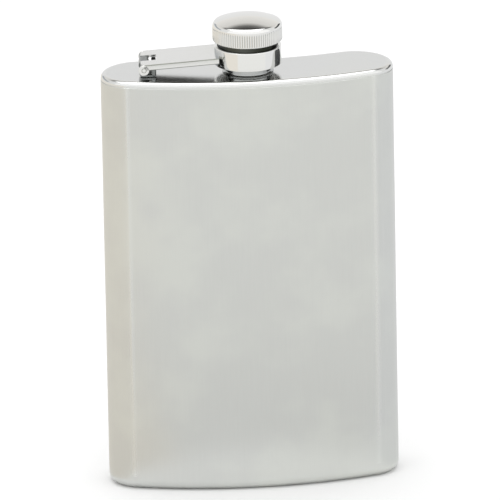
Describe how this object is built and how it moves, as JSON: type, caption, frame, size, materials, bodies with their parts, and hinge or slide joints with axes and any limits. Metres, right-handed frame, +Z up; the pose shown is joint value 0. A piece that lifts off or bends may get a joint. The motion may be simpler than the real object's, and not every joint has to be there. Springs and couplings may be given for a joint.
{
  "type": "hip flask",
  "caption": "Curved steel hip flask with a threaded neck, a knurled domed screw cap held in a collar, and a hinged arm that keeps the cap on the flask.",
  "frame": {"origin": "centre of the flask's outline on the plane of its resting face", "axes": "+Z up through the shoulder plate, +X along the width away from the hinge, -Y out of the convex face"},
  "size_m": [0.095, 0.029, 0.1584],
  "materials": {
    "body_steel": "fine brushed",
    "plate_steel": "satin with a polished rim",
    "neck_steel": "bright turned",
    "hinge_steel": "satin",
    "arm_steel": "satin",
    "polished_steel": "mirror polished",
    "liner_plastic": "moulded",
    "seal_rubber": "matt"
  },
  "bodies": {
    "flask": {"body_wall": "body_steel", "shoulder_plate": "plate_steel", "base_plate": "plate_steel", "neck": "neck_steel", "hinge_base": "hinge_steel"},
    "arm": {"arm": "arm_steel", "collar": "polished_steel", "hinge_pin": "hinge_steel"},
    "cap": {"cap_shell": "polished_steel", "cap_insert": "liner_plastic", "gasket": "seal_rubber", "retaining_ring": "hinge_steel"}
  },
  "joints": [
    {"name": "arm_pivot", "type": "hinge", "parent": "flask", "child": "arm", "pos_m": [-0.03347, 0.00087, 0.1428], "axis": [-0.0872, -0.9962, 0], "range_deg": [0, 180]},
    {"name": "cap_turn", "type": "hinge", "parent": "arm", "child": "cap", "pos_m": [0, -0.00205, 0.1503], "axis": [0, 0, 1], "continuous": true}
  ]
}
